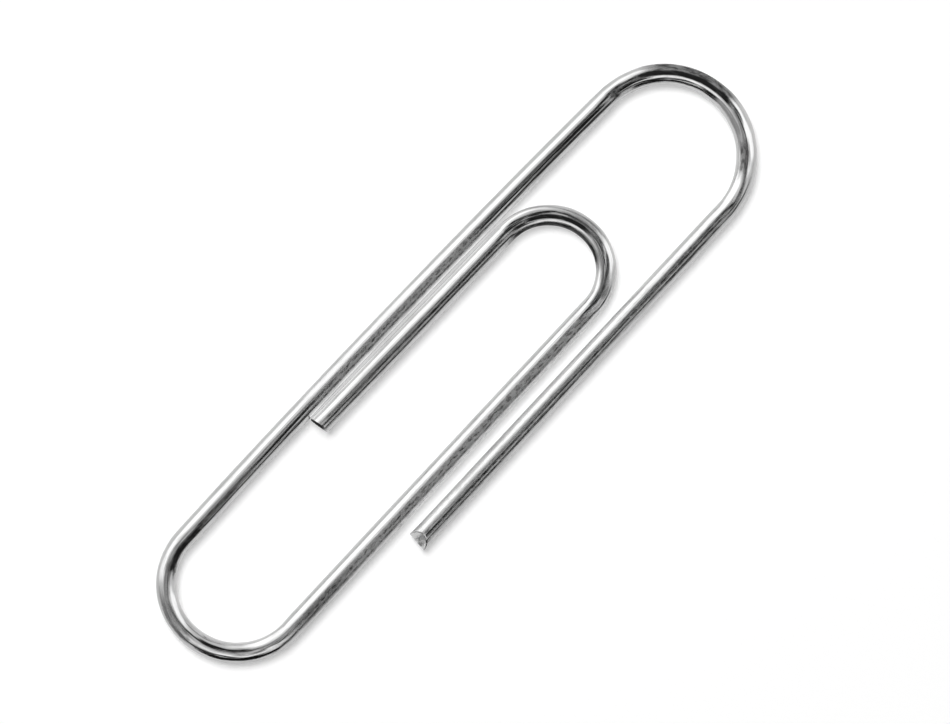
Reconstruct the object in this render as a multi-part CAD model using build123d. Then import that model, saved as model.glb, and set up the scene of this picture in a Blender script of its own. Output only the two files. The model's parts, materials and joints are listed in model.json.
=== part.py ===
"""Wire paper clip: one round wire bent three times, in the stretches that flex against each other.

X runs along the clip towards the wide head bend, Y across it towards the long leg, Z up.
The origin is under the middle of the clip, on the surface it lies on. Lengths in millimetres, angles in degrees.
"""
import os
from math import cos, radians, sin, sqrt, tan

from build123d import *

# The wire and the clip as a whole
wire_diameter = 0.9
overall_length = 32.0

# Bends and legs, measured along the middle of the wire
tail_bend_radius = 2.87
bend_slack = 0.12          # tail and inner bends start this much tighter and spring open by as much
inner_bend_setback = 7.75  # from the top of the head bend back to the top of the inner bend
outer_leg_reach = 21.88    # from the top of the head bend back to the outer leg's cut end
tongue_reach = 13.46       # from the top of the inner bend back to the tongue's cut end

# Air left between neighbouring legs
outer_gap = 0.44           # inner leg to outer leg, which run side by side
tongue_gap = 0.03          # long leg to the tip of the tongue

# How far the legs stray from straight and parallel
leg_lean = 0.8             # inner and outer legs close in on the long leg towards the head
tongue_lean = 0.15         # the tongue closes in on the long leg towards its tip
long_leg_bow = 1.4         # inward turn at each end of the bowed long leg

# Outer leg's end, nipped between two blades: lean of each facet, slant seen from above, and how far
# short of a sharp edge the facets stop
outer_end_pinch = 47.0
outer_end_slant = -6.4
outer_end_blunt = 0.04

# Tongue's end, sheared across: lean of the cut seen from the side, slant seen from above, rolled edge
tongue_end_rake = 6.3
tongue_end_slant = 9.0
tongue_end_edge = 0.05

quarter_turn = 90.0
wire_radius = wire_diameter / 2
lean = radians(leg_lean)
tip_lean = radians(tongue_lean)
bow = radians(long_leg_bow)


def spread(turn_left):
    """Width of a half bend per unit of its radius, when it stops short of a quarter turn by this angle."""
    return (1 - sin(turn_left)) / cos(turn_left)


# Tops of the bends: there the wire runs straight across the clip, along Y
head_top_x = overall_length / 2 - wire_radius
tail_top_x = wire_radius - overall_length / 2
inner_top_x = head_top_x - inner_bend_setback

# Tail bend, laid out with the ends of the long leg on y = 0
tail_long_radius = tail_bend_radius - bend_slack
tail_inner_radius = tail_bend_radius + bend_slack
tail_top_y = -tail_long_radius * cos(bow)
long_tail_x = tail_top_x + tail_long_radius * (1 - sin(bow))

# Inner leg, straight out of the tail bend
inner_start_x = tail_top_x + tail_inner_radius * (1 + sin(lean))
inner_start_y = tail_top_y - tail_inner_radius * cos(lean)

# Head bend: as wide as it takes to set the outer leg down beside the inner leg
outer_pitch = wire_diameter + outer_gap
head_run = head_top_x - inner_start_x
head_width = outer_pitch / cos(lean) - inner_start_y - head_run * tan(lean)
head_bend_radius = head_width / (cos(bow) + spread(lean))
head_top_y = -head_bend_radius * cos(bow)
long_head_x = head_top_x - head_bend_radius * (1 - sin(bow))

# Long leg, an arc so shallow that it reads as a slight bow
long_leg_radius = (long_head_x - long_tail_x) / 2 / sin(bow)
long_centre_x = (long_head_x + long_tail_x) / 2
long_centre_y = -long_leg_radius * cos(bow)

# Outer leg, from the head bend back to its cut end
outer_start_x = head_top_x - head_bend_radius * (1 - sin(lean))
outer_start_y = head_top_y - head_bend_radius * cos(lean)
outer_end_x = head_top_x - outer_leg_reach
outer_end_y = outer_start_y - (outer_start_x - outer_end_x) * tan(lean)

# Tongue: its tip lies beside the long leg, and the inner bend takes up the width that is left
tongue_pitch = wire_diameter + tongue_gap
tongue_end_x = inner_top_x - tongue_reach
tip_rise = sqrt(long_leg_radius**2 - (tongue_end_x - long_centre_x) ** 2)
tongue_end_y = long_centre_y + tip_rise - tongue_pitch
inner_run = inner_top_x - inner_start_x
inner_width = tongue_end_y - inner_start_y - inner_run * tan(lean) - tongue_reach * tan(tip_lean)
slack_width = bend_slack * (spread(lean) - spread(tip_lean))
inner_bend_radius = (inner_width + slack_width) / (spread(lean) + spread(tip_lean))
inner_leg_radius = inner_bend_radius - bend_slack
inner_tongue_radius = inner_bend_radius + bend_slack
inner_top_y = inner_start_y + inner_run * tan(lean) + inner_leg_radius * spread(lean)
inner_end_x = inner_top_x - inner_leg_radius * (1 - sin(lean))
inner_end_y = inner_top_y - inner_leg_radius * cos(lean)
tongue_start_x = inner_top_x - inner_tongue_radius * (1 - sin(tip_lean))
tongue_start_y = inner_top_y + inner_tongue_radius * cos(tip_lean)

# Middle of the clip across its width, which goes over the origin
highest_y = long_centre_y + long_leg_radius + wire_radius
lowest_y = outer_end_y - wire_radius
clip_placing = Location((0, -(highest_y + lowest_y) / 2, wire_radius))


def bent_wire(centre_x, centre_y, radius, start_angle, turn):
    """Wire bent round an upright axis, turning from one bearing about that axis to another."""
    section = Plane.XZ * Pos(radius, 0) * Circle(wire_radius)
    bend = revolve(section, Axis.Z, revolution_arc=turn)
    return Pos(centre_x, centre_y) * Rot(0, 0, start_angle) * bend


def straight_wire(start, end):
    """Straight wire between two points of the layout."""
    run = Vector(*end) - Vector(*start)
    section = Plane(origin=start, z_dir=run) * Circle(wire_radius)
    return extrude(section, amount=run.length)


def cut_plane(start, end, rake, slant, beyond=0):
    """Plane at the end of a leg, or a little beyond it, leaning back by the rake and turned by the slant."""
    run = (Vector(*end) - Vector(*start)).normalized()
    facing = run.rotate(Axis((0, 0, 0), run.cross(Vector(0, 0, 1))), rake)
    return Plane(origin=Vector(*end) + run * beyond, z_dir=facing.rotate(Axis.Z, slant))


def overlong_wire(start, end):
    """Straight wire that runs past its end, ready to be cut there."""
    run = (Vector(*end) - Vector(*start)).normalized()
    return straight_wire(start, tuple(Vector(*end) + run * wire_diameter))


def sheared_wire(start, end, rake, slant, edge):
    """Straight wire whose far end is sheared off, with the edge of the cut rolled over."""
    leg = split(overlong_wire(start, end), bisect_by=cut_plane(start, end, rake, slant), keep=Keep.BOTTOM)
    cut_face = leg.faces().sort_by_distance(end)[0]
    return fillet(cut_face.edges(), edge)


def nipped_wire(start, end, pinch, slant, blunt):
    """Straight wire whose far end is nipped off between two blades, which leaves a blunt edge at half height."""
    leg = split(overlong_wire(start, end), bisect_by=cut_plane(start, end, 0, slant), keep=Keep.BOTTOM)
    for rake in (pinch, -pinch):
        leg = split(leg, bisect_by=cut_plane(start, end, rake, slant, blunt), keep=Keep.BOTTOM)
    return leg


nodes = {
    "outer_leg": nipped_wire(
        (outer_start_x, outer_start_y, 0),
        (outer_end_x, outer_end_y, 0),
        outer_end_pinch,
        outer_end_slant,
        outer_end_blunt,
    ),
    "head_bend_outer_half": bent_wire(
        head_top_x - head_bend_radius,
        head_top_y,
        head_bend_radius,
        leg_lean - quarter_turn,
        quarter_turn - leg_lean,
    ),
    "head_bend_long_half": bent_wire(
        head_top_x - head_bend_radius,
        head_top_y,
        head_bend_radius,
        0,
        quarter_turn - long_leg_bow,
    ),
    "long_leg": bent_wire(
        long_centre_x,
        long_centre_y,
        long_leg_radius,
        quarter_turn - long_leg_bow,
        2 * long_leg_bow,
    ),
    "tail_bend_long_half": bent_wire(
        tail_top_x + tail_long_radius,
        tail_top_y,
        tail_long_radius,
        quarter_turn + long_leg_bow,
        quarter_turn - long_leg_bow,
    ),
    "tail_bend_inner_half": bent_wire(
        tail_top_x + tail_inner_radius,
        tail_top_y,
        tail_inner_radius,
        2 * quarter_turn,
        quarter_turn + leg_lean,
    ),
    "inner_leg": straight_wire((inner_start_x, inner_start_y, 0), (inner_end_x, inner_end_y, 0)),
    "inner_bend_inner_half": bent_wire(
        inner_top_x - inner_leg_radius,
        inner_top_y,
        inner_leg_radius,
        leg_lean - quarter_turn,
        quarter_turn - leg_lean,
    ),
    "inner_bend_tongue_half": bent_wire(
        inner_top_x - inner_tongue_radius,
        inner_top_y,
        inner_tongue_radius,
        0,
        quarter_turn - tongue_lean,
    ),
    "tongue_leg": sheared_wire(
        (tongue_start_x, tongue_start_y, 0),
        (tongue_end_x, tongue_end_y, 0),
        tongue_end_rake,
        tongue_end_slant,
        tongue_end_edge,
    ),
}

os.makedirs("parts", exist_ok=True)
for name, solid in nodes.items():
    export_step(clip_placing * solid, f"parts/{name}.step")
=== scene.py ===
import json
import math
import bmesh
import bpy
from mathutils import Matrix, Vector, noise


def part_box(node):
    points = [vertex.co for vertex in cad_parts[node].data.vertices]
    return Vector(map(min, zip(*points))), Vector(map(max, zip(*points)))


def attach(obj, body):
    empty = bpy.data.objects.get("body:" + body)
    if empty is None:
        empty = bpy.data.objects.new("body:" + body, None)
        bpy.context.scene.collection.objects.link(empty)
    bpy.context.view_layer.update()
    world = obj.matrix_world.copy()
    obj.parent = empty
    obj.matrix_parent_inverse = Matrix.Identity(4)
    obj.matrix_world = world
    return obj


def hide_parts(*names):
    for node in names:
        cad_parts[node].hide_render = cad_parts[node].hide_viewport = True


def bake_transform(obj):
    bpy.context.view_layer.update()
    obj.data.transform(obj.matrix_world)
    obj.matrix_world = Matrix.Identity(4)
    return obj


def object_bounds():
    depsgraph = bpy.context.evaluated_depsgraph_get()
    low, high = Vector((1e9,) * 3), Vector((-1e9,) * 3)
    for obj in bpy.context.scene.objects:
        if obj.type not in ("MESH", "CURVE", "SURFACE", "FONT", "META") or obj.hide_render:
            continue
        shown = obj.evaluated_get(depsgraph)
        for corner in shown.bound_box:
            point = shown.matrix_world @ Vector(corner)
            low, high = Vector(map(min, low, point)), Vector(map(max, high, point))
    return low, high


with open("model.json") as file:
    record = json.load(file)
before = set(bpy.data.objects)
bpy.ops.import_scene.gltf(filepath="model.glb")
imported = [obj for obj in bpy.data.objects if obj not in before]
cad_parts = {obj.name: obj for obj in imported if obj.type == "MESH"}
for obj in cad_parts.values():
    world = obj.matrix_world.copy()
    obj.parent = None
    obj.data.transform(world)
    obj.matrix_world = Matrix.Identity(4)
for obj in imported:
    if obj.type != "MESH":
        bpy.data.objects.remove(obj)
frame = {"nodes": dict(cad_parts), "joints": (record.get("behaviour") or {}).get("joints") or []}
cadLow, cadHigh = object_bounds()
mm = 0.001
quarter = math.pi / 2
upward = Vector((0, 0, 1))
print("frame loaded:", len(frame["nodes"]), "stretches of wire")


# The line that the wire follows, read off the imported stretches

legLow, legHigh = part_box("long_leg")
wireRadius = (legHigh.z - legLow.z) / 2
wireHeight = (legHigh.z + legLow.z) / 2


def bendTop(jointName):
    place = next(joint["pos_m"] for joint in frame["joints"] if joint["name"] == jointName)
    return Vector(place[:2])


def halfRadius(node, top):
    low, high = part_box(node)
    return max(high.y - top.y, top.y - low.y) - wireRadius


def onCircle(centre, radius, angle):
    return centre + radius * Vector((math.cos(angle), math.sin(angle)))


headTop = bendTop("head_bend_twist")
tailTop = bendTop("tail_bend_twist")
innerTop = bendTop("inner_bend_twist")
headOuterRadius = halfRadius("head_bend_outer_half", headTop)
headLongRadius = halfRadius("head_bend_long_half", headTop)
tailLongRadius = halfRadius("tail_bend_long_half", tailTop)
tailInnerRadius = halfRadius("tail_bend_inner_half", tailTop)
innerLegRadius = halfRadius("inner_bend_inner_half", innerTop)
innerTongueRadius = halfRadius("inner_bend_tongue_half", innerTop)
headOuterCentre = headTop - Vector((headOuterRadius, 0))
headLongCentre = headTop - Vector((headLongRadius, 0))
tailLongCentre = tailTop + Vector((tailLongRadius, 0))
tailInnerCentre = tailTop + Vector((tailInnerRadius, 0))
innerLegCentre = innerTop - Vector((innerLegRadius, 0))
innerTongueCentre = innerTop - Vector((innerTongueRadius, 0))

# the inner leg runs straight between the tail bend and the inner bend, and the outer leg beside it
between = innerLegCentre - tailInnerCentre
narrowing = (tailInnerRadius - innerLegRadius) / between.length
legLean = math.atan2(between.y, between.x) + math.asin(narrowing)

# the long leg is slightly bowed: its rise gives the turn at each end, which settles in a few rounds
bowRise = legHigh.y - legLow.y - 2 * wireRadius
bowRounds = 4
bow = 0.0
for bowRound in range(bowRounds):
    turnedIn = (headLongRadius + tailLongRadius) * math.sin(bow)
    halfSpan = (headLongCentre.x - tailLongCentre.x + turnedIn) / 2
    bow = 2 * math.atan(bowRise / halfSpan)
longHead = onCircle(headLongCentre, headLongRadius, quarter - bow)
longTail = onCircle(tailLongCentre, tailLongRadius, quarter + bow)
longRadius = (longHead - longTail).length / 2 / math.sin(bow)
longCentre = (longHead + longTail) / 2 - Vector((0, longRadius * math.cos(bow)))

tongueLow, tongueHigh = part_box("tongue_leg")
tongueRise = tongueHigh.y - tongueLow.y - 2 * wireRadius
tongueLean = math.asin(tongueRise / (tongueHigh.x - tongueLow.x))
outerStart = onCircle(headOuterCentre, headOuterRadius, legLean - quarter)
innerStart = onCircle(tailInnerCentre, tailInnerRadius, legLean - quarter)
innerEnd = onCircle(innerLegCentre, innerLegRadius, legLean - quarter)
tongueStart = onCircle(innerTongueCentre, innerTongueRadius, quarter - tongueLean)


# Rings of the wire. A station is (x, y, heading): the wire is followed from the outer leg's cut
# end round to the tongue's cut end, and always turns to its left

wireMesh = {
    "around": 64, "legStep": 0.25 * mm,
    "bendStep": math.radians(2), "seamStep": math.radians(0.1),  # close rings keep the seams smooth
}


def bendStations(centre, radius, fromAngle, toAngle):
    steps = max(2, round((toAngle - fromAngle) / wireMesh["bendStep"]))
    angles = [fromAngle + (toAngle - fromAngle) * k / steps for k in range(steps + 1)]
    angles.insert(1, fromAngle + wireMesh["seamStep"])
    angles.insert(-1, toAngle - wireMesh["seamStep"])
    return [(*onCircle(centre, radius, angle), angle + quarter) for angle in angles]


def bowedStations(centre, radius, fromAngle, toAngle):
    steps = round(radius * (toAngle - fromAngle) / wireMesh["legStep"])
    angles = [fromAngle + (toAngle - fromAngle) * k / steps for k in range(steps + 1)]
    return [(*onCircle(centre, radius, angle), angle + quarter) for angle in angles]


def straightStations(start, end, heading):
    steps = max(2, round((end - start).length / wireMesh["legStep"]))
    return [(*start.lerp(end, k / steps), heading) for k in range(steps + 1)]


def stationRuns(stations, startRun):
    runs = [startRun]
    for before, after in zip(stations, stations[1:]):
        runs.append(runs[-1] + math.hypot(after[0] - before[0], after[1] - before[1]))
    return runs


def ringAxes(heading):
    forward = Vector((math.cos(heading), math.sin(heading), 0))
    return forward, Vector((-forward.y, forward.x, 0))


def softStep(value, low, high):
    share = min(1.0, max(0.0, (value - low) / (high - low)))
    return share * share * (3 - 2 * share)


def asShare(swing):
    return 0.5 + 0.5 * swing  # from -1..1 to 0..1


def hump(turn, side, spread):
    return math.exp(-((turn - side) / spread) ** 2)


# The wire isn't quite round or straight: its surface ripples a little, more so where it was bent, and the
# bending tools pressed the bends flat on top (flat) and on one shoulder (press, at pressSide degrees).
# scuff is the share of the plating that is rubbed dull. Sides of the wire are given in degrees: 0 is the
# inside of the bends, 90 the top, 180 the outside
topSide = 90
straightLook = {"ripple": 0.018 * mm, "wave": 5.0 * mm, "flat": 0.0, "press": 0.0}
bentLook = {"ripple": 0.05 * mm, "wave": 1.3 * mm}
stretchLooks = {
    "outerLeg": {**straightLook, "pressSide": 50, "scuff": 0.45},
    "headBend": {**bentLook, "flat": 0.035 * mm, "press": 0.032 * mm, "pressSide": 50, "scuff": 0.08},
    "longLeg": {**straightLook, "pressSide": 90, "scuff": 0.08},
    "tailBend": {**bentLook, "flat": 0.03 * mm, "press": 0.018 * mm, "pressSide": 130, "scuff": 0.08},
    "innerLeg": {**straightLook, "pressSide": 90, "scuff": 0.25},
    "innerBend": {
        **bentLook, "ripple": 0.045 * mm, "flat": 0.085 * mm, "press": 0.0, "pressSide": 50, "scuff": 0.05,
    },
    "tongue": {**straightLook, "pressSide": 50, "scuff": 0.3},
}
rippleShape = {
    "turns": 1.6, "change": 1.2 * mm,  # change is the length over which one look goes over to the next
    "broad": 0.68, "fine": 0.32, "fineScale": 2.4, "flatSpread": 40, "pressSpread": 28,
}

# Dark marks (rub, solid black above 1) and dull marks (scuff): share of the stretch from start to end, and
# the side of the wire.
# The dull marks, the marks on the legs and the dark nicks are where the bending tools and the feed rubbed the
# plating.
# The dark bands along the bends are partly rubbed plating and partly painted reflection. The solid black ones
# are painted reflections only, standing in for dark bands that the wire reflects
markCore = 0.5  # share of the spread that is marked in full
toolMarks = {
    "headBend": (
        {"start": 0.46, "end": 0.82, "side": 144, "spread": 44, "fade": 0.05, "rubAndPaintedReflection": 0.86, "scuff": 0.6},
        {"start": 0.15, "end": 0.3, "side": 68, "spread": 36, "fade": 0.05, "rubAndPaintedReflection": 0.85, "scuff": 0.4},
        {"start": 0.95, "end": 0.98, "side": 72, "spread": 40, "fade": 0.015, "rubAndPaintedReflection": 0.9, "scuff": 0.5},
        # painted reflection: a solid black band along the top, standing in for a dark band that the bend
        # reflects
        {"start": 0.46, "end": 0.86, "side": 97, "spread": 22, "fade": 0.04, "rubAndPaintedReflection": 1.4, "scuff": 0.1},
    ),
    "longLeg": (
        {"start": 0.3, "end": 0.7, "side": 70, "spread": 44, "fade": 0.06, "rubAndPaintedReflection": 0.0, "scuff": 0.9},
        {"start": 0.84, "end": 1.1, "side": 76, "spread": 15, "fade": 0.06, "rubAndPaintedReflection": 0.9, "scuff": 0.1},
    ),
    "tailBend": (
        {"start": 0.28, "end": 0.52, "side": 112, "spread": 40, "fade": 0.06, "rubAndPaintedReflection": 0.55, "scuff": 0.6},
        {"start": 0.12, "end": 0.17, "side": 66, "spread": 40, "fade": 0.02, "rubAndPaintedReflection": 0.85, "scuff": 0.5},
        # painted reflection: a solid black band along the shoulder, standing in for a dark band that the bend
        # reflects
        {"start": -0.1, "end": 0.16, "side": 66, "spread": 20, "fade": 0.02, "rubAndPaintedReflection": 1.4, "scuff": 0.2},
    ),
    "innerLeg": (
        {"start": 0.0, "end": 0.2, "side": 112, "spread": 40, "fade": 0.08, "rubAndPaintedReflection": 0.6, "scuff": 0.9},
        {"start": 0.0, "end": 1.0, "side": 112, "spread": 44, "fade": 0.05, "rubAndPaintedReflection": 0.0, "scuff": 1.0},
    ),
    "innerBend": (
        {"start": 0.4, "end": 0.62, "side": 120, "spread": 44, "fade": 0.06, "rubAndPaintedReflection": 0.5, "scuff": 0.5},
        # painted reflection: a solid black band along the top, standing in for a dark band that the bend
        # reflects
        {"start": 0.46, "end": 0.86, "side": 79, "spread": 18, "fade": 0.05, "rubAndPaintedReflection": 1.4, "scuff": 0.1},
        # painted reflection: a solid black band along the inner rim, standing in for the dark floor that the
        # rim reflects
        {"start": 0.25, "end": 1.02, "side": 18, "spread": 32, "fade": 0.1, "rubAndPaintedReflection": 1.4, "scuff": 0.1},
    ),
}


def lookAt(key, run):
    # goes over from one stretch's value to the next one's round their meeting
    names = list(stretchLooks)
    half = rippleShape["change"] / 2
    value = stretchLooks[names[0]][key]
    for before, after in zip(names, names[1:]):
        meeting = stretchRuns[before][-1]
        step = stretchLooks[after][key] - stretchLooks[before][key]
        value += step * softStep(run, meeting - half, meeting + half)
    return value


def markAt(key, run, angle):
    most = 0.0
    for stretchName, marks in toolMarks.items():
        start, end = stretchRuns[stretchName][0], stretchRuns[stretchName][-1]
        place = (run - start) / (end - start)
        for mark in marks:
            fade = mark["fade"]
            along = softStep(place, mark["start"] - fade, mark["start"] + fade)
            along *= 1 - softStep(place, mark["end"] - fade, mark["end"] + fade)
            turn = abs((math.degrees(angle) - mark["side"] + 180) % 360 - 180)
            across = 1 - softStep(turn, markCore * mark["spread"], mark["spread"])
            most = max(most, mark[key] * along * across)
    return most


def wavesUpTo(run):
    count = 0.0
    for stretchName, looks in stretchLooks.items():
        start, end = stretchRuns[stretchName][0], stretchRuns[stretchName][-1]
        count += (min(end, max(start, run)) - start) / looks["wave"]
    return count


def wireDip(run, angle):
    turns = rippleShape["turns"]
    place = Vector((wavesUpTo(run), math.cos(angle) * turns, math.sin(angle) * turns))
    swell = rippleShape["broad"] * noise.noise(place)
    swell += rippleShape["fine"] * noise.noise(place * rippleShape["fineScale"])
    turn = math.degrees(angle)
    flattened = lookAt("flat", run) * hump(turn, topSide, rippleShape["flatSpread"])
    pressed = lookAt("press", run) * hump(turn, lookAt("pressSide", run), rippleShape["pressSpread"])
    return lookAt("ripple", run) * asShare(swell) + flattened + pressed


# A ring is a list of (point, angle, spread from the middle, reach past the run, how torn, which also sets the
# painted shade of a cut face)
def ringPoints(station, run):
    left = ringAxes(station[2])[1]
    centre = Vector((station[0], station[1], wireHeight))
    points = []
    for k in range(wireMesh["around"]):
        angle = 2 * math.pi * k / wireMesh["around"]
        offset = left * math.cos(angle) + upward * math.sin(angle)
        points.append((centre + offset * (wireRadius - wireDip(run, angle)), angle, wireRadius, 0.0, 0.0))
    return points


# A cut end. A nipped one has two facets that meet in a blunt edge at half height (pinch, blunt); a sheared
# one leans back (rake). Either is turned a little (slant), its rim is rolled over, and where the wire tore
# off the face is deeper and near black, which is partly the torn steel's own dullness and partly painted
# shade for its rough hollows
def cutReach(cut, spread, angle):
    turned = -spread * math.tan(cut["slant"]) * math.cos(angle)
    height = spread * math.sin(angle)
    if "pinch" in cut:
        return turned + min(0.0, cut["blunt"] - abs(height) * math.tan(cut["pinch"]))
    return turned - height * math.tan(cut["rake"])


def cutRings(cut, end, heading, outward):
    forward, left = ringAxes(heading)
    centre = Vector((end.x, end.y, wireHeight))
    spreads = [((wireRadius - cut["edge"]) * (k / cut["faceSteps"]), 0.0) for k in range(1, cut["faceSteps"])]
    for k in range(cut["edgeSteps"] + 1):
        turn = (1 - k / cut["edgeSteps"]) * quarter
        spread = wireRadius - cut["edge"] * (1 - math.cos(turn))
        spreads.append((spread, cut["edge"] * (1 - math.sin(turn))))
    rings = []
    for spread, setBack in spreads:
        settle = min(1.0, (wireRadius - spread) / cut["edge"] / cut["settle"])
        ring = []
        for k in range(wireMesh["around"]):
            angle = 2 * math.pi * k / wireMesh["around"]
            offset = left * math.cos(angle) + upward * math.sin(angle)
            across = math.cos(angle - cut["tornSide"]) * spread / wireRadius
            tornAndShaded = 1 / (1 + math.exp(-cut["tornBlend"] * (across - cut["tornFrom"])))
            grain = noise.noise(offset * spread * cut["grainScale"] / wireRadius)
            relief = tornAndShaded * cut["tornDepth"] + cut["grainDepth"] * asShare(grain)
            reach = cutReach(cut, spread, angle) - setBack - relief * settle
            point = centre + offset * spread + forward * outward * reach
            ring.append((point, angle, spread, outward * reach, tornAndShaded))
        rings.append(ring)
    return rings


def farthestReach(cut):
    # of the middle of the rolled rim
    halfRoll = quarter / 2
    spread = wireRadius - cut["edge"] * (1 - math.cos(halfRoll))
    reaches = [cutReach(cut, spread, math.radians(turn)) for turn in range(360)]
    return max(reaches) - cut["edge"] * (1 - math.sin(halfRoll))


def buildWire(name, rings, runs, faceRings, materials):
    # rings run along the piece; runs gives how far along the wire each ring is, for the finish;
    # faceRings (start, end) says how many rings at each end belong to a cut face
    mesh = bpy.data.meshes.new(name)
    shape = bmesh.new()
    placeLayer = shape.verts.layers.float_vector.new("wirePlace")
    scuffLayer = shape.verts.layers.float.new("scuff")
    rubAndReflectionLayer = shape.verts.layers.float.new("rubAndPaintedReflection")
    tornAndShadedLayer = shape.verts.layers.float.new("tornAndShaded")
    around = wireMesh["around"]
    rows = []
    for ring, run in zip(rings, runs):
        row = []
        scuff = lookAt("scuff", run)
        for point, angle, spread, further, tornAndShaded in ring:
            vert = shape.verts.new(point)
            vert[scuffLayer] = max(scuff, markAt("scuff", run, angle))
            vert[rubAndReflectionLayer] = markAt("rubAndPaintedReflection", run, angle)
            vert[tornAndShadedLayer] = tornAndShaded
            place = Vector((run + further, spread * math.cos(angle), spread * math.sin(angle)))
            vert[placeLayer] = place / mm
            row.append(vert)
        rows.append(row)
    last = len(rows) - 1
    for index in range(last):
        onFace = index < faceRings[0] or index >= last - faceRings[1]
        row, nextRow = rows[index], rows[index + 1]
        for k in range(around):
            after = (k + 1) % around
            face = shape.faces.new((row[k], nextRow[k], nextRow[after], row[after]))
            face.smooth = True
            face.material_index = 1 if onFace else 0
    for row, cutFace, flip in ((rows[0], faceRings[0], False), (rows[-1], faceRings[1], True)):
        if cutFace:
            middle = shape.verts.new(sum((vert.co for vert in row), Vector()) / around)
            middle[placeLayer] = sum((vert[placeLayer] for vert in row), Vector()) / around
            middle[tornAndShadedLayer] = sum(vert[tornAndShadedLayer] for vert in row) / around
            for k in range(around):
                corners = (row[k], row[(k + 1) % around], middle)
                face = shape.faces.new(corners[::-1] if flip else corners)
                face.smooth = True
                face.material_index = 1
        else:
            face = shape.faces.new(row[::-1] if flip else row)
            face.smooth = False
            for edge in face.edges:
                edge.smooth = False
    bmesh.ops.recalc_face_normals(shape, faces=shape.faces)
    shape.to_mesh(mesh)
    shape.free()
    for material in materials:
        mesh.materials.append(material)
    piece = bpy.data.objects.new(name, mesh)
    bpy.context.scene.collection.objects.link(piece)
    return piece


# Shader helpers

nodeSpacing = {"column": 220, "row": 180}


def addNode(tree, kind, **settings):
    node = tree.nodes.new(kind)
    for key, value in settings.items():
        setattr(node, key, value)
    return node


def addMath(tree, operation, first, second=0.0):
    node = addNode(tree, "ShaderNodeMath", operation=operation)
    for socket, value in zip(node.inputs, (first, second)):
        if isinstance(value, (int, float)):
            socket.default_value = value
        else:
            tree.links.new(value, socket)
    return node.outputs[0]


def addRange(tree, value, toLow, toHigh, fromLow=0.0, fromHigh=1.0):
    node = addNode(tree, "ShaderNodeMapRange", interpolation_type="SMOOTHSTEP")
    tree.links.new(value, node.inputs["Value"])
    limits = {"From Min": fromLow, "From Max": fromHigh, "To Min": toLow, "To Max": toHigh}
    for key, number in limits.items():
        node.inputs[key].default_value = number
    return node.outputs["Result"]


def addAttribute(tree, name, output):
    return addNode(tree, "ShaderNodeAttribute", attribute_name=name).outputs[output]


def addBump(tree, height, depth, under=None):
    bump = addNode(tree, "ShaderNodeBump")
    bump.inputs["Strength"].default_value = 1.0
    bump.inputs["Distance"].default_value = depth
    tree.links.new(height, bump.inputs["Height"])
    if under:
        tree.links.new(under, bump.inputs["Normal"])
    return bump.outputs[0]


def addNoise(tree, place, detail, roughness):
    grain = addNode(tree, "ShaderNodeTexNoise")
    grain.inputs["Scale"].default_value = 1.0
    grain.inputs["Detail"].default_value = detail
    grain.inputs["Roughness"].default_value = roughness
    tree.links.new(place, grain.inputs["Vector"])
    return grain.outputs["Fac"]


def arrangeNodes(tree):
    # in columns, by how many links lie between a node and the output
    steps = {node.name: 0 for node in tree.nodes}
    for sweep in range(len(tree.nodes)):
        for link in tree.links:
            behind = steps[link.to_node.name] + 1
            steps[link.from_node.name] = max(steps[link.from_node.name], behind)
    filled = {}
    for node in tree.nodes:
        column = steps[node.name]
        row = filled.get(column, 0)
        filled[column] = row + 1
        node.location = (-nodeSpacing["column"] * column, -nodeSpacing["row"] * row)


def newGroup(name, vectors, numbers, result):
    group = bpy.data.node_groups.new(name, "ShaderNodeTree")
    for label in vectors:
        group.interface.new_socket(name=label, in_out="INPUT", socket_type="NodeSocketVector")
    for label in numbers:
        group.interface.new_socket(name=label, in_out="INPUT", socket_type="NodeSocketFloat")
    group.interface.new_socket(name=result, in_out="OUTPUT", socket_type="NodeSocketFloat")
    return group, addNode(group, "NodeGroupInput").outputs, addNode(group, "NodeGroupOutput").inputs


# Long fine lines that the drawing die leaves along the wire
drawnLinesShape = {"detail": 3.0, "roughness": 0.6, "low": 0.3, "high": 0.7}


def drawnLinesGroup(shape):
    group, given, result = newGroup("drawnLines", ("Place",), ("Length", "Width"), "Lines")
    split = addNode(group, "ShaderNodeSeparateXYZ")
    group.links.new(given["Place"], split.inputs[0])
    joined = addNode(group, "ShaderNodeCombineXYZ")
    for axis, size in enumerate(("Length", "Width", "Width")):
        scaled = addMath(group, "DIVIDE", split.outputs[axis], given[size])
        group.links.new(scaled, joined.inputs[axis])
    grain = addNoise(group, joined.outputs[0], shape["detail"], shape["roughness"])
    lines = addRange(group, grain, 0.0, 1.0, shape["low"], shape["high"])
    group.links.new(lines, result["Lines"])
    arrangeNodes(group)
    return group


# Uneven brightness of the plating, in soft patches drawn out along the wire
plateCloudsShape = {"detail": 5.0, "roughness": 0.62, "low": 0.85, "high": 1.25, "squeeze": (0.35, 1.0, 1.0)}


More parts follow.
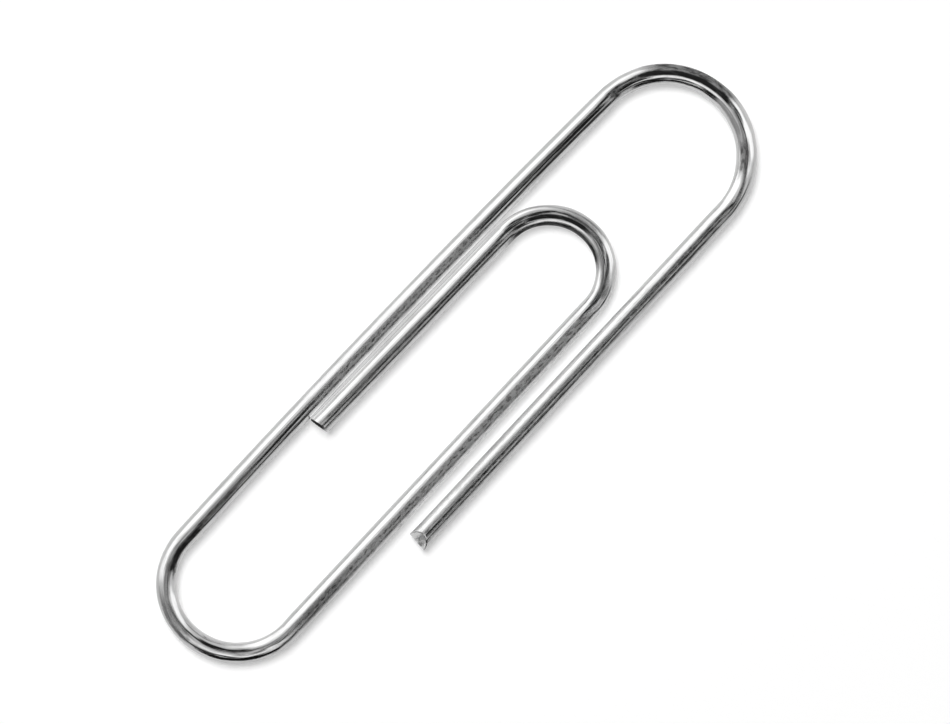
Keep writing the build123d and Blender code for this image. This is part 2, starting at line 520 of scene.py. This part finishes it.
def plateCloudsGroup(shape):
    group, given, result = newGroup("plateClouds", ("Place",), ("Patch", "Cover"), "Clouds")
    stretched = addNode(group, "ShaderNodeVectorMath", operation="MULTIPLY")
    stretched.inputs[1].default_value = shape["squeeze"]
    group.links.new(given["Place"], stretched.inputs[0])
    fitted = addNode(group, "ShaderNodeVectorMath", operation="SCALE")
    group.links.new(stretched.outputs[0], fitted.inputs[0])
    group.links.new(addMath(group, "DIVIDE", 1.0, given["Patch"]), fitted.inputs["Scale"])
    cloud = addNoise(group, fitted.outputs[0], shape["detail"], shape["roughness"])
    lifted = addMath(group, "ADD", cloud, given["Cover"])
    clouds = addRange(group, lifted, 0.0, 1.0, shape["low"], shape["high"])
    group.links.new(clouds, result["Clouds"])
    arrangeNodes(group)
    return group


drawnLines = drawnLinesGroup(drawnLinesShape)
plateClouds = plateCloudsGroup(plateCloudsShape)


def placeGroup(tree, group, place, values):
    node = addNode(tree, "ShaderNodeGroup", node_tree=group)
    tree.links.new(place, node.inputs["Place"])
    for key, value in values.items():
        node.inputs[key].default_value = value
    return node.outputs[0]


def blankMaterial(name):
    material = bpy.data.materials.new(name)
    material.use_nodes = True
    tree = material.node_tree
    tree.nodes.clear()
    shader = addNode(tree, "ShaderNodeBsdfPrincipled")
    output = addNode(tree, "ShaderNodeOutputMaterial")
    tree.links.new(shader.outputs[0], output.inputs["Surface"])
    return material, tree, shader.inputs, addAttribute(tree, "wirePlace", "Vector")


# Sizes of lines and patches are in millimetres
brightPlate = {
    "bright": 0.8, "dull": 0.62, "rubAndReflectionDark": 0.025,  # grey levels
    "smooth": 0.06, "rough": 0.14, "scuffed": 0.52,  # roughness
    "lines": {"Length": 14.0, "Width": 0.16}, "lineShare": 0.35, "lineDepth": 0.003 * mm,
    "hair": {"Length": 3.0, "Width": 0.035}, "hairShare": 0.35,
    "clouds": {"Patch": 0.55, "Cover": 0.45},
    "grain": {"Patch": 0.09, "Cover": 0.5}, "leastScuff": 0.4, "grainDepth": 0.004 * mm,
    "mottle": {"Patch": 0.16, "Cover": 0.52}, "leastRubAndReflection": 0.62,
    "creviceGlow": 0.5, "creviceGlowDepth": 1.5,
}


def brightPlateMaterial(finish):
    material, tree, shader, place = blankMaterial("brightPlate")
    scuff = addAttribute(tree, "scuff", "Fac")
    rubAndPaintedReflection = addAttribute(tree, "rubAndPaintedReflection", "Fac")
    lines = placeGroup(tree, drawnLines, place, finish["lines"])
    hair = placeGroup(tree, drawnLines, place, finish["hair"])
    clouds = placeGroup(tree, plateClouds, place, finish["clouds"])
    grain = placeGroup(tree, plateClouds, place, finish["grain"])
    mottle = placeGroup(tree, plateClouds, place, finish["mottle"])
    scuffed = addMath(tree, "MULTIPLY", scuff, addRange(tree, grain, finish["leastScuff"], 1.0))
    rubAndReflectionDark = addMath(tree, "MULTIPLY", rubAndPaintedReflection, addRange(tree, mottle, finish["leastRubAndReflection"], 1.0))
    wear = addMath(tree, "MAXIMUM", scuffed, rubAndReflectionDark)
    lined = addMath(tree, "MULTIPLY", lines, finish["lineShare"])
    clouded = addMath(tree, "MULTIPLY", clouds, 1 - finish["lineShare"])
    tone = addMath(tree, "ADD", lined, clouded)
    plated = addRange(tree, addMath(tree, "MAXIMUM", tone, scuffed), finish["bright"], finish["dull"])
    # the rub marks darken the colour: rubbed plating in part, and painted reflection where they stand in for
    # dark bands that the wire reflects
    rubAndReflectionTone = addRange(tree, rubAndReflectionDark, 1.0, finish["rubAndReflectionDark"] / finish["dull"])
    tree.links.new(addMath(tree, "MULTIPLY", plated, rubAndReflectionTone), shader["Base Color"])
    shader["Metallic"].default_value = 1.0
    gloss = addRange(tree, tone, finish["smooth"], finish["rough"])
    blurred = addMath(tree, "MULTIPLY", wear, finish["scuffed"] - finish["rough"])
    tree.links.new(addMath(tree, "ADD", gloss, blurred), shader["Roughness"])
    relief = addMath(tree, "ADD", lines, addMath(tree, "MULTIPLY", hair, finish["hairShare"]))
    drawn = addBump(tree, relief, finish["lineDepth"])
    tree.links.new(addBump(tree, wear, finish["grainDepth"], drawn), shader["Normal"])
    # painted light: where the wire shows the wire beside it in its reflections, that wire glows softly,
    # standing in for the light that goes to and fro between two stretches side by side more often than the
    # render follows it
    rays = addNode(tree, "ShaderNodeLightPath")
    deep = addMath(tree, "GREATER_THAN", rays.outputs["Ray Depth"], finish["creviceGlowDepth"])
    tree.links.new(addMath(tree, "MULTIPLY", deep, finish["creviceGlow"]), shader["Emission Color"])
    shader["Emission Strength"].default_value = 1.0
    arrangeNodes(tree)
    return material


# The blade leaves the two corners of a cut bright, and the middle breaks off dull: its middle line and
# where it starts and ends on either side, in millimetres
shearedSteel = {
    "bright": 1.0, "dull": 0.5, "tornAndShaded": 0.06,  # grey levels
    "smooth": 0.2, "rough": 0.45,
    "drag": {"Length": 0.4, "Width": 0.05}, "dragShare": 0.4,
    "grain": {"Patch": 0.3, "Cover": 0.5}, "grainDepth": 0.008 * mm,
    "brokenMiddle": -0.06, "brokenFrom": 0.1, "brokenTo": 0.3, "dullFrom": 0.1, "dullTo": 0.5,
}


def shearedSteelMaterial(finish):
    material, tree, shader, place = blankMaterial("shearedSteel")
    tornAndShaded = addAttribute(tree, "tornAndShaded", "Fac")
    drag = placeGroup(tree, drawnLines, place, finish["drag"])
    grain = placeGroup(tree, plateClouds, place, finish["grain"])
    dragged = addMath(tree, "MULTIPLY", drag, finish["dragShare"])
    grained = addMath(tree, "MULTIPLY", grain, 1 - finish["dragShare"])
    across = addNode(tree, "ShaderNodeSeparateXYZ")
    tree.links.new(place, across.inputs[0])
    offMiddle = addMath(tree, "SUBTRACT", across.outputs["Y"], finish["brokenMiddle"])
    offMiddle = addMath(tree, "ABSOLUTE", offMiddle)
    broken = addRange(tree, offMiddle, 1.0, 0.0, finish["brokenFrom"], finish["brokenTo"])
    tone = addMath(tree, "MULTIPLY", addMath(tree, "ADD", grained, dragged), broken)
    bladed = addRange(tree, tone, finish["bright"], finish["dull"], finish["dullFrom"], finish["dullTo"])
    # painted shade: the torn part of the face is darkened near black, without metal or shine, standing in for
    # the shade in its rough hollows
    deep = addRange(tree, tornAndShaded, 1.0, finish["tornAndShaded"])
    tree.links.new(addMath(tree, "MULTIPLY", bladed, deep), shader["Base Color"])
    tree.links.new(addMath(tree, "SUBTRACT", 1.0, tornAndShaded), shader["Metallic"])
    shader["Specular IOR Level"].default_value = 0.0
    tree.links.new(addRange(tree, tone, finish["smooth"], finish["rough"]), shader["Roughness"])
    tree.links.new(addBump(tree, tone, finish["grainDepth"]), shader["Normal"])
    arrangeNodes(tree)
    return material


plate = brightPlateMaterial(brightPlate)
bareCut = shearedSteelMaterial(shearedSteel)
print("finishes ready")


# The pieces, in the order in which the wire runs

cutClear = 0.6 * mm  # a cut leg's plain stretch stops this far short of its end, clear of the leaning cut
outerCut = {
    "pinch": math.radians(47), "blunt": 0.04 * mm, "slant": math.radians(6.4),
    "edge": 0.04 * mm, "edgeSteps": 5, "faceSteps": 12, "settle": 1.5,
    "tornSide": 0.0, "tornFrom": 2.0, "tornBlend": 9, "tornDepth": 0.0,
    "grainDepth": 0.012 * mm, "grainScale": 4.0,
}
tongueCut = {
    "rake": math.radians(6.3), "slant": math.radians(9),
    "edge": 0.06 * mm, "edgeSteps": 5, "faceSteps": 9, "settle": 1.5,
    "tornSide": math.pi, "tornFrom": -0.6, "tornBlend": 9, "tornDepth": 0.012 * mm,
    "grainDepth": 0.025 * mm, "grainScale": 6.0,
}

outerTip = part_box("outer_leg")[0].x
tongueTip = tongueLow.x
outerLength = (outerStart.x - outerTip - farthestReach(outerCut)) / math.cos(legLean)
outerEnd = outerStart - outerLength * Vector((math.cos(legLean), math.sin(legLean)))
tongueLength = (tongueStart.x - tongueTip - farthestReach(tongueCut)) / math.cos(tongueLean)
tongueEnd = tongueStart + tongueLength * Vector((-math.cos(tongueLean), math.sin(tongueLean)))
tongueHeading = math.pi - tongueLean
outerClear = outerStart + (outerEnd - outerStart) * (1 - cutClear / outerLength)
tongueClear = tongueStart + (tongueEnd - tongueStart) * (1 - cutClear / tongueLength)

stretches = {
    "outerLeg": straightStations(outerClear, outerStart, legLean),
    "headBend": bendStations(headOuterCentre, headOuterRadius, legLean - quarter, 0)
    + bendStations(headLongCentre, headLongRadius, 0, quarter - bow)[1:],
    "longLeg": bowedStations(longCentre, longRadius, quarter - bow, quarter + bow),
    "tailBend": bendStations(tailLongCentre, tailLongRadius, quarter + bow, 2 * quarter)
    + bendStations(tailInnerCentre, tailInnerRadius, 2 * quarter, 3 * quarter + legLean)[1:],
    "innerLeg": straightStations(innerStart, innerEnd, legLean),
    "innerBend": bendStations(innerLegCentre, innerLegRadius, legLean - quarter, 0)
    + bendStations(innerTongueCentre, innerTongueRadius, 0, quarter - tongueLean)[1:],
    "tongue": straightStations(tongueStart, tongueClear, tongueHeading),
}
stretchRuns = {}
runSoFar = cutClear
for stretchName, stations in stretches.items():
    stretchRuns[stretchName] = stationRuns(stations, runSoFar)
    runSoFar = stretchRuns[stretchName][-1]
print("wire length:", round((runSoFar + cutClear) / mm, 2), "mm")


def stretchRings(stretchName):
    runs = stretchRuns[stretchName]
    return [ringPoints(station, run) for station, run in zip(stretches[stretchName], runs)], list(runs)


def buildStretch(name, stretchName):
    rings, runs = stretchRings(stretchName)
    return buildWire(name, rings, runs, (0, 0), (plate,))


# Outer leg, with its cut end in front
rings, runs = stretchRings("outerLeg")
cutEnd = cutRings(outerCut, outerEnd, legLean, -1)
wireOuterLeg = buildWire(
    "wireOuterLeg", cutEnd + rings, [0.0] * len(cutEnd) + runs,
    (outerCut["faceSteps"] - 1, 0), (plate, bareCut),
)
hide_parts("outer_leg")
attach(wireOuterLeg, "outer_arm")

# Head bend, between the outer leg and the long leg
wireHeadBend = buildStretch("wireHeadBend", "headBend")
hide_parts("head_bend_outer_half", "head_bend_long_half")
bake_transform(wireHeadBend)

# Long leg
wireLongLeg = buildStretch("wireLongLeg", "longLeg")
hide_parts("long_leg")
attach(wireLongLeg, "long_arm")

# Tail bend, between the long leg and the inner leg
wireTailBend = buildStretch("wireTailBend", "tailBend")
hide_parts("tail_bend_long_half", "tail_bend_inner_half")
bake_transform(wireTailBend)

# Inner leg
wireInnerLeg = buildStretch("wireInnerLeg", "innerLeg")
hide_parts("inner_leg")
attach(wireInnerLeg, "inner_arm")

# Inner bend, between the inner leg and the tongue
wireInnerBend = buildStretch("wireInnerBend", "innerBend")
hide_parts("inner_bend_inner_half", "inner_bend_tongue_half")
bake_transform(wireInnerBend)

# Tongue, with its cut end last
rings, runs = stretchRings("tongue")
cutEnd = cutRings(tongueCut, tongueEnd, tongueHeading, 1)[::-1]
wireTongue = buildWire(
    "wireTongue", rings + cutEnd, runs + [runs[-1] + cutClear] * len(cutEnd),
    (0, len(cutEnd) - 1), (plate, bareCut),
)
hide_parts("tongue_leg")
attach(wireTongue, "tongue")
print("wire built")


# Studio: a white floor under a soft lamp, and a tent of panels and flags that the wire reflects

white = (1.0, 1.0, 1.0, 1.0)
cameraSetup = {  # aim and view in millimetres
    "aim": (0.671, -0.171), "turn": -46.2066, "view": 39.043,
    "lens": 180.0, "sensor": 36.0, "near": 0.01, "far": 10.0,
}
floorSetup = {"half": 1.5, "white": 0.6, "roughness": 0.9, "lift": 0.41, "shine": 0.04}
lampSetup = {"bearing": 116, "tilt": 24, "away": 0.6, "across": 0.34, "power": 3.75}


def pictureDirection(bearing, tilt):
    # bearing is the picture's own: 0 to the right, 90 up. tilt is measured from straight above
    turn = math.radians(bearing + cameraSetup["turn"])
    away = Vector((math.cos(turn), math.sin(turn), 0))
    lean = math.radians(tilt)
    aim = away * math.sin(lean) + upward * math.cos(lean)
    rise = upward * math.sin(lean) - away * math.cos(lean)
    return aim, upward.cross(away), rise


def makeFloor(setup):
    mesh = bpy.data.meshes.new("whiteFloor")
    half = setup["half"]
    corners = [(-half, -half, 0), (half, -half, 0), (half, half, 0), (-half, half, 0)]
    mesh.from_pydata(corners, [], [(0, 1, 2, 3)])
    floor = bpy.data.objects.new("whiteFloor", mesh)
    floor.location.z = cadLow.z
    bpy.context.scene.collection.objects.link(floor)
    material = bpy.data.materials.new("whiteCard")
    material.use_nodes = True
    tree = material.node_tree
    shader = tree.nodes["Principled BSDF"].inputs
    shader["Base Color"].default_value = (setup["white"],) * 3 + (1.0,)
    shader["Roughness"].default_value = setup["roughness"]
    shader["Specular IOR Level"].default_value = 0.0
    shader["Emission Color"].default_value = white
    rays = addNode(tree, "ShaderNodeLightPath").outputs
    seen = addMath(tree, "MULTIPLY", rays["Is Camera Ray"], setup["lift"])
    shone = addMath(tree, "MULTIPLY", rays["Is Glossy Ray"], setup["shine"])
    tree.links.new(addMath(tree, "ADD", seen, shone), shader["Emission Strength"])
    arrangeNodes(tree)
    mesh.materials.append(material)


def makeLamp(setup):
    data = bpy.data.lights.new("overheadLamp", "AREA")
    data.shape = "DISK"
    data.size = setup["across"]
    data.energy = setup["power"]
    lamp = bpy.data.objects.new("overheadLamp", data)
    towards = pictureDirection(setup["bearing"], setup["tilt"])[0]
    lamp.location = towards * setup["away"]
    lamp.rotation_euler = towards.to_track_quat("Z", "Y").to_euler()
    lamp.visible_glossy = False  # the wire reflects the tent below
    bpy.context.scene.collection.objects.link(lamp)


# level is a panel's brightness or the share of light that a flag takes away, width and height are
# half sizes in degrees, edge is how soft the rim is
tentPanels = (
    {"bearing": 137, "tilt": 62, "width": 38, "height": 24, "edge": 0.6, "level": 0.8},
    {"bearing": 22, "tilt": 50, "width": 16, "height": 32, "edge": 0.3, "level": 0.6},
    {"bearing": -98, "tilt": 38, "width": 28, "height": 9, "edge": 0.3, "level": 0.5},
)
tentFlags = (
    {"bearing": -48, "tilt": 26, "width": 15, "height": 16, "edge": 0.25, "level": 0.985},
    {"bearing": 72, "tilt": 15, "width": 13, "height": 17, "edge": 0.25, "level": 0.98},
    {"bearing": -42, "tilt": 65, "width": 26, "height": 14, "edge": 0.25, "level": 0.95},
    {"bearing": -98, "tilt": 73, "width": 36, "height": 23, "edge": 0.15, "level": 0.985},
    {"bearing": 183, "tilt": 26, "width": 9, "height": 16, "edge": 0.4, "level": 0.6},
    {"bearing": 206, "tilt": 66, "width": 24, "height": 18, "edge": 0.4, "level": 0.55},
    {"bearing": 52, "tilt": 78, "width": 28, "height": 7, "edge": 0.3, "level": 0.7},
)
# light is what reaches the floor from all round, cloth is the tent between its panels, and deep is what
# the wire shows where it reflects the wire beside it
tentSetup = {"light": 0.12, "cloth": 0.62, "deep": 1.0, "deepFrom": 2.5}
panelShape = {"corner": 3.0, "leastAhead": 0.0001}  # corner is 2 for an oval, more for a squarer panel


def softPanelGroup(shape):
    directions = ("Direction", "Aim", "Across", "Rise")
    group, given, result = newGroup("softPanel", directions, ("Width", "Height", "Edge"), "Panel")

    def along(axis):
        node = addNode(group, "ShaderNodeVectorMath", operation="DOT_PRODUCT")
        group.links.new(given["Direction"], node.inputs[0])
        group.links.new(given[axis], node.inputs[1])
        return node.outputs["Value"]

    facing = along("Aim")
    ahead = addMath(group, "MAXIMUM", facing, shape["leastAhead"])
    powers = []
    for axis, size in (("Across", "Width"), ("Rise", "Height")):
        share = addMath(group, "DIVIDE", along(axis), ahead)
        share = addMath(group, "DIVIDE", share, given[size])
        powers.append(addMath(group, "POWER", addMath(group, "ABSOLUTE", share), shape["corner"]))
    reach = addMath(group, "POWER", addMath(group, "ADD", *powers), 1 / shape["corner"])
    fade = addNode(group, "ShaderNodeMapRange", interpolation_type="SMOOTHSTEP")
    group.links.new(reach, fade.inputs["Value"])
    group.links.new(addMath(group, "SUBTRACT", 1.0, given["Edge"]), fade.inputs["From Min"])
    group.links.new(addMath(group, "ADD", 1.0, given["Edge"]), fade.inputs["From Max"])
    fade.inputs["To Min"].default_value = 1.0
    fade.inputs["To Max"].default_value = 0.0
    front = addMath(group, "GREATER_THAN", facing, 0.0)
    group.links.new(addMath(group, "MULTIPLY", fade.outputs["Result"], front), result["Panel"])
    arrangeNodes(group)
    return group


def placePanel(tree, softPanel, looking, panel):
    node = addNode(tree, "ShaderNodeGroup", node_tree=softPanel)
    tree.links.new(looking, node.inputs["Direction"])
    aim, across, rise = pictureDirection(panel["bearing"], panel["tilt"])
    for key, axis in (("Aim", aim), ("Across", across), ("Rise", rise)):
        node.inputs[key].default_value = axis
    node.inputs["Width"].default_value = math.tan(math.radians(panel["width"]))
    node.inputs["Height"].default_value = math.tan(math.radians(panel["height"]))
    node.inputs["Edge"].default_value = panel["edge"]
    return addMath(tree, "MULTIPLY", node.outputs["Panel"], panel["level"])


def addBackground(tree, strength):
    shader = addNode(tree, "ShaderNodeBackground")
    shader.inputs["Color"].default_value = white
    if isinstance(strength, (int, float)):
        shader.inputs["Strength"].default_value = strength
    else:
        tree.links.new(strength, shader.inputs["Strength"])
    return shader.outputs[0]


def addChoice(tree, chosen, without, within):
    choice = addNode(tree, "ShaderNodeMixShader")
    for socket, value in zip(choice.inputs, (chosen, without, within)):
        tree.links.new(value, socket)
    return choice.outputs[0]


def makeTent(setup):
    world = bpy.data.worlds.new("studioTent")
    bpy.context.scene.world = world
    world.use_nodes = True
    tree = world.node_tree
    tree.nodes.clear()
    looking = addNode(tree, "ShaderNodeTexCoord").outputs["Generated"]
    rays = addNode(tree, "ShaderNodeLightPath").outputs
    softPanel = softPanelGroup(panelShape)
    level = setup["cloth"]
    for flag in tentFlags:
        left = addMath(tree, "SUBTRACT", 1.0, placePanel(tree, softPanel, looking, flag))
        level = addMath(tree, "MULTIPLY", level, left)
    for panel in tentPanels:
        level = addMath(tree, "ADD", level, placePanel(tree, softPanel, looking, panel))
    again = addMath(tree, "GREATER_THAN", rays["Ray Depth"], setup["deepFrom"])
    level = addMath(tree, "MULTIPLY", level, addMath(tree, "SUBTRACT", 1.0, again))
    level = addMath(tree, "ADD", level, addMath(tree, "MULTIPLY", again, setup["deep"]))
    around = addBackground(tree, setup["light"])
    lit = addChoice(tree, rays["Is Glossy Ray"], around, addBackground(tree, level))
    shown = addChoice(tree, rays["Is Camera Ray"], lit, addBackground(tree, 1.0))
    output = addNode(tree, "ShaderNodeOutputWorld")
    tree.links.new(shown, output.inputs["Surface"])
    arrangeNodes(tree)


def makeCamera(setup):
    data = bpy.data.cameras.new("clipCamera")
    data.lens = setup["lens"]
    data.sensor_width = setup["sensor"]
    distance = setup["view"] * mm * setup["lens"] / setup["sensor"]
    data.clip_start = setup["near"]
    data.clip_end = setup["far"]
    camera = bpy.data.objects.new("clipCamera", data)
    camera.location = (setup["aim"][0] * mm, setup["aim"][1] * mm, wireHeight + distance)
    camera.rotation_euler = (0, 0, math.radians(setup["turn"]))
    bpy.context.scene.collection.objects.link(camera)
    bpy.context.scene.camera = camera


makeFloor(floorSetup)
makeLamp(lampSetup)
makeTent(tentSetup)
makeCamera(cameraSetup)
bpy.context.scene.view_settings.view_transform = "Standard"
print("studio ready")
